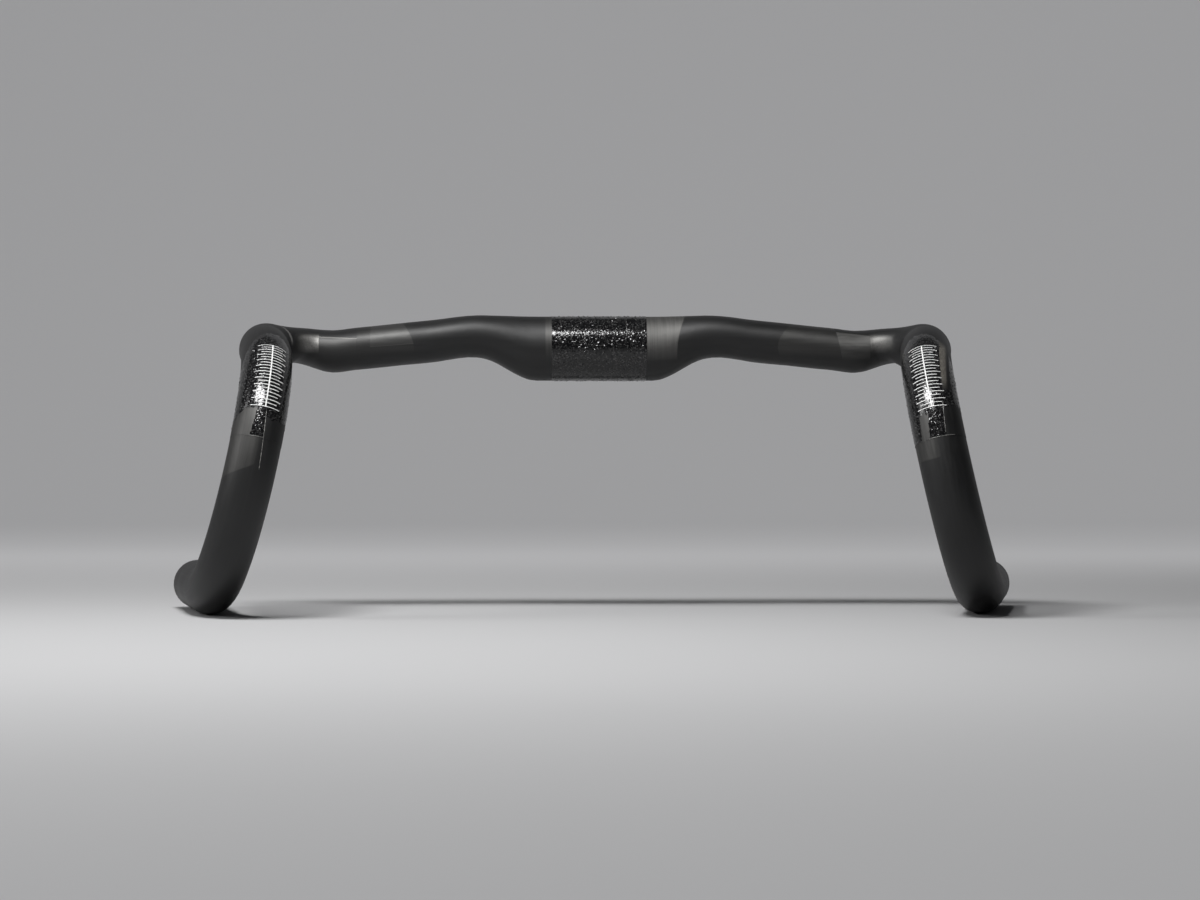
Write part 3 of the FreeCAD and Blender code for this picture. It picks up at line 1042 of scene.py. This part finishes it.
def ink_rectangle(name, turn, around, wide, along_tube):
    """A small upright rectangle of ink on the hood, ready to be spun."""
    radial = hood_radial(turn, around)
    middle = tube_centre(turn) + radial * (HOOD_COAT_RADIUS + INK_DEPTH / 2 - SKIN_LIFT)
    heading = hook_heading(turn)
    normal = heading if along_tube else radial.cross(heading)
    bpy.ops.object.select_all(action="DESELECT")
    bpy.ops.mesh.primitive_plane_add(size=1, location=middle, rotation=facing(normal, radial))
    piece = bpy.context.object
    piece.name = name
    piece.scale = (INK_DEPTH, wide, 1)
    bpy.ops.object.transform_apply(location=True, rotation=True, scale=True)
    bpy.ops.object.mode_set(mode="EDIT")
    bpy.ops.mesh.select_all(action="SELECT")
    return piece


def tick_set(name, first, count, half_sweep):
    """Spin one tick round the tube, then repeat it down the bend."""
    start = radians(first)
    piece = ink_rectangle(name, start, radians(-half_sweep), TICK_WIDTH, False)
    sweep_angle = radians(2 * half_sweep)
    bpy.ops.mesh.spin(steps=14, angle=sweep_angle, center=tube_centre(start), axis=hook_heading(start))
    face_outwards()
    run = radians(2 * TICK_PITCH * (count - 1))
    bpy.ops.mesh.spin(steps=count - 1, dupli=True, angle=-run, center=HOOK_CENTRE, axis=SIDE)
    bpy.ops.object.mode_set(mode="OBJECT")
    return piece


print("a tick is", TICK_WIDTH / MM, "mm wide")

# %% [markdown]
# The long ticks, the short ticks and the spine are joined, because one pass of the screen prints them
# all. The spine is a rectangle that faces along the tube and is spun down the whole scale.

# %% Position scales
TICKS = 21
FIRST_TICK = 32.3
LONG_TICK = 33.5
SHORT_TICK = 24.6
SPINE_WIDTH = 0.58 * MM
SPINE_OVERHANG = 0.2


def join_into(piece, *others):
    """Join other pieces into one."""
    bpy.ops.object.select_all(action="DESELECT")
    for part in (*others, piece):
        part.select_set(True)
    bpy.context.view_layer.objects.active = piece
    bpy.ops.object.join()


def position_scale(side):
    """The whole scale of one hood as a single printed piece."""
    long_ticks = tick_set("scale_" + side, FIRST_TICK, TICKS // 2 + 1, LONG_TICK)
    short_ticks = tick_set("short_ticks", FIRST_TICK + TICK_PITCH, TICKS // 2, SHORT_TICK)
    spine = ink_rectangle("spine", radians(FIRST_TICK - SPINE_OVERHANG), 0.0, SPINE_WIDTH, True)
    run = radians(TICK_PITCH * (TICKS - 1) + 2 * SPINE_OVERHANG)
    bpy.ops.mesh.spin(steps=60, angle=-run, center=HOOK_CENTRE, axis=SIDE)
    face_outwards()
    bpy.ops.object.mode_set(mode="OBJECT")
    join_into(long_ticks, short_ticks, spine)
    return long_ticks


for side in ("right", "left"):
    scale = position_scale(side)
    turns = [hood_angles(vertex.co)[0] for vertex in scale.data.vertices]
    print("scale from", round(min(turns), 1), "to", round(max(turns), 1), "degrees")
    settle_on_side(scale, side, ink)

# %% [markdown]
# The grit is bonded to a film, and the film's cut edges catch the light; their pale grey is partly a
# painted highlight. They are rubbed dark in places, so a noise mixes a dark and a pale grey.

# %% Pale film edge
RUBBED_EDGE = (0.06, 0.06, 0.058, 1)
PALE_EDGE_AND_HIGHLIGHT = (0.30, 0.295, 0.28, 1)

film_edge, tree, shader = new_material("pale_film_edge")
# The pale share is partly a painted highlight on edges that catch the light.
pale_and_highlight_share = step(tree, noise_value(tree, object_place(tree), 700.0, 3.0), 0.35, 0.65)
tree.links.new(mix_colour(tree, pale_and_highlight_share, RUBBED_EDGE, PALE_EDGE_AND_HIGHLIGHT), shader.inputs["Base Color"])
tree.links.new(mix(tree, pale_and_highlight_share, 0.30, 0.48), shader.inputs["Roughness"])
give_relief(tree, shader, pale_and_highlight_share, 0.4, 0.05 * MM)
print("film edge:", len(tree.nodes), "nodes")

# %% [markdown]
# A cut edge is a fine bead that follows the surface. A bevelled curve would do, but a small octagon that
# is extruded from place to place makes closed faces at once. It is thin at both ends, so that it looks
# laid on and not glued.

# %% Beads
BEAD = 0.13 * MM
THIN_END = 0.3
FULL_AGAIN = 3.3


def lay_bead(name, places):
    """Extrude a fine bead from place to place, thin at both ends."""
    path = places[1] - places[0]
    bpy.ops.object.select_all(action="DESELECT")
    bpy.ops.mesh.primitive_circle_add(
        vertices=8,
        radius=BEAD * THIN_END,
        fill_type="NGON",
        location=places[0],
        rotation=path.to_track_quat("Z", "Y").to_euler(),
    )
    bead = bpy.context.object
    bead.name = name
    bpy.ops.object.transform_apply(location=True, rotation=True, scale=True)
    bpy.ops.object.mode_set(mode="EDIT")
    bpy.ops.mesh.select_mode(type="FACE")
    bpy.ops.mesh.select_all(action="SELECT")
    for count in range(1, len(places)):
        stride = places[count] - places[count - 1]
        bpy.ops.mesh.extrude_region_move(TRANSFORM_OT_translate={"value": stride})
        if count == 1:
            bpy.ops.transform.resize(value=(FULL_AGAIN,) * 3, center_override=places[1])
    bpy.ops.transform.resize(value=(THIN_END,) * 3, center_override=places[-1])
    face_outwards()
    bpy.ops.object.mode_set(mode="OBJECT")
    return bead


print("a bead is", 2 * BEAD / MM, "mm thick")

# %% [markdown]
# There are two on each hood: a short ridge across the tube where the grit ends, and a lengthwise seam
# that steps down from the coat to the bare tube. All angles are in degrees, turn first.

# %% Film edges
LOWER_EDGE_TURN = 76.8
LOWER_EDGE_RADIUS = 12.06 * MM
LOWER_EDGE = {"right": (-21.0, 40.0), "left": (-9.5, 25.0)}
SEAM = {"right": ((63.0, 26.0), (75.5, 19.0)), "left": ((66.0, -3.5), (89.0, -13.0))}
EDGE_STEPS = 30
SEAM_STEPS = 24


def even_steps(first, last, count):
    """Numbers in even steps from the first to the last."""
    return [first + (last - first) * n / count for n in range(count + 1)]


def on_hood(turn, around, radius):
    """Point at a distance from the tube's centre line, from its two angles in degrees."""
    turn = radians(turn)
    return tube_centre(turn) + hood_radial(turn, radians(around)) * radius


def film_edges(side):
    """The lower edge of the film and its seam on one hood, as one piece."""
    edge_places = []
    for around in even_steps(*LOWER_EDGE[side], EDGE_STEPS):
        edge_places.append(on_hood(LOWER_EDGE_TURN, around, LOWER_EDGE_RADIUS))
    edge = lay_bead("film_edge_" + side, edge_places)
    top, low = SEAM[side]
    seam_turns = even_steps(top[0], low[0], SEAM_STEPS)
    seam_rounds = even_steps(top[1], low[1], SEAM_STEPS)
    seam_places = []
    for turn, around in zip(seam_turns, seam_rounds):
        radius = HOOD_COAT_RADIUS if turn < LOWER_EDGE_TURN else TUBE_RADIUS
        seam_places.append(on_hood(turn, around, radius + SKIN_LIFT))
    join_into(edge, lay_bead("seam", seam_places))
    return edge


for side in ("right", "left"):
    settle_on_side(film_edges(side), side, film_edge)
